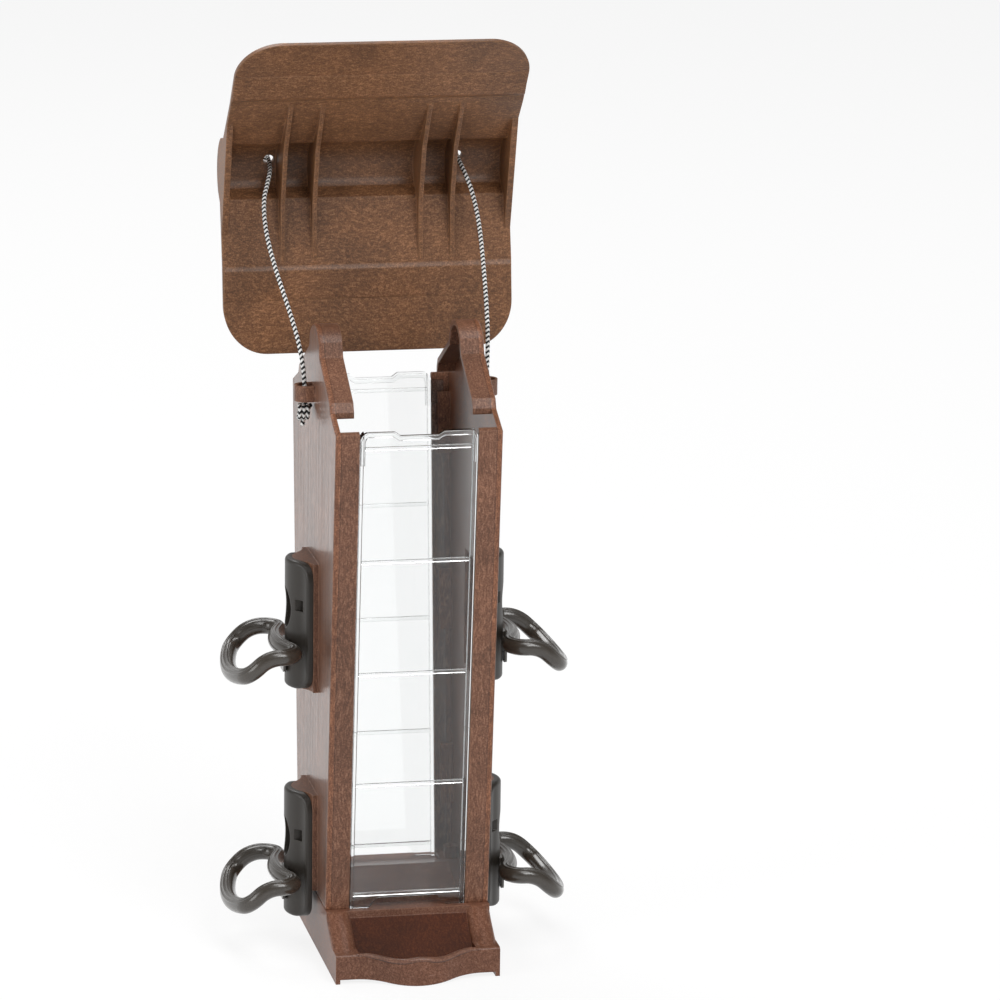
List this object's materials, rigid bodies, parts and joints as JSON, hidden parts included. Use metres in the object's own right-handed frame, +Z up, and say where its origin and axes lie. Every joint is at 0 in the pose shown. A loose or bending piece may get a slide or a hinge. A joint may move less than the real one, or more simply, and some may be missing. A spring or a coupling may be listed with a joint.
{
  "type": "hopper bird feeder",
  "caption": "Tapered hopper bird feeder with clear sliding windows, ring perches at bell-shaped seed ports, a two-way seed tray and a gable lid that tips back on its hanging cord.",
  "frame": {"origin": "centre of the plane that the tray stands on", "axes": "+X to the right of the front window, +Y to the rear, +Z up"},
  "size_m": [0.1958, 0.2281, 0.5094],
  "materials": {
    "wood_plastic": "satin wood-fibre plastic",
    "dark_plastic": "fine satin",
    "clear_plastic": "clear gloss",
    "braided_cord": "black and white braid",
    "steel": "plated"
  },
  "bodies": {
    "housing": {"right_side_panel": "wood_plastic", "left_side_panel": "wood_plastic", "base_tray": "wood_plastic", "base_screws": "steel", "right_lower_port": "dark_plastic", "left_lower_port": "dark_plastic", "right_upper_port": "dark_plastic", "left_upper_port": "dark_plastic", "right_lower_perch": "dark_plastic", "left_lower_perch": "dark_plastic", "right_upper_perch": "dark_plastic", "left_upper_perch": "dark_plastic", "left_cord_run": "braided_cord", "right_cord_run": "braided_cord", "left_knot": "braided_cord", "right_knot": "braided_cord"},
    "lid": {"lid": "wood_plastic", "hanger_loop": "braided_cord"},
    "front_window": {"front_window": "clear_plastic"},
    "rear_window": {"rear_window": "clear_plastic"}
  },
  "joints": [
    {"name": "lid_tip", "type": "hinge", "parent": "housing", "child": "lid", "pos_m": [0, 0.1024, 0.3213], "axis": [1, 0, 0], "range_deg": [0, 74], "deforming": ["left_cord_run", "right_cord_run"]},
    {"name": "front_window_lift", "type": "slide", "parent": "housing", "child": "front_window", "axis": [0, -0.091, 0.9958], "range_m": [0, 0.002]},
    {"name": "rear_window_lift", "type": "slide", "parent": "housing", "child": "rear_window", "axis": [0, 0.091, 0.9958], "range_m": [0, 0.002]}
  ]
}
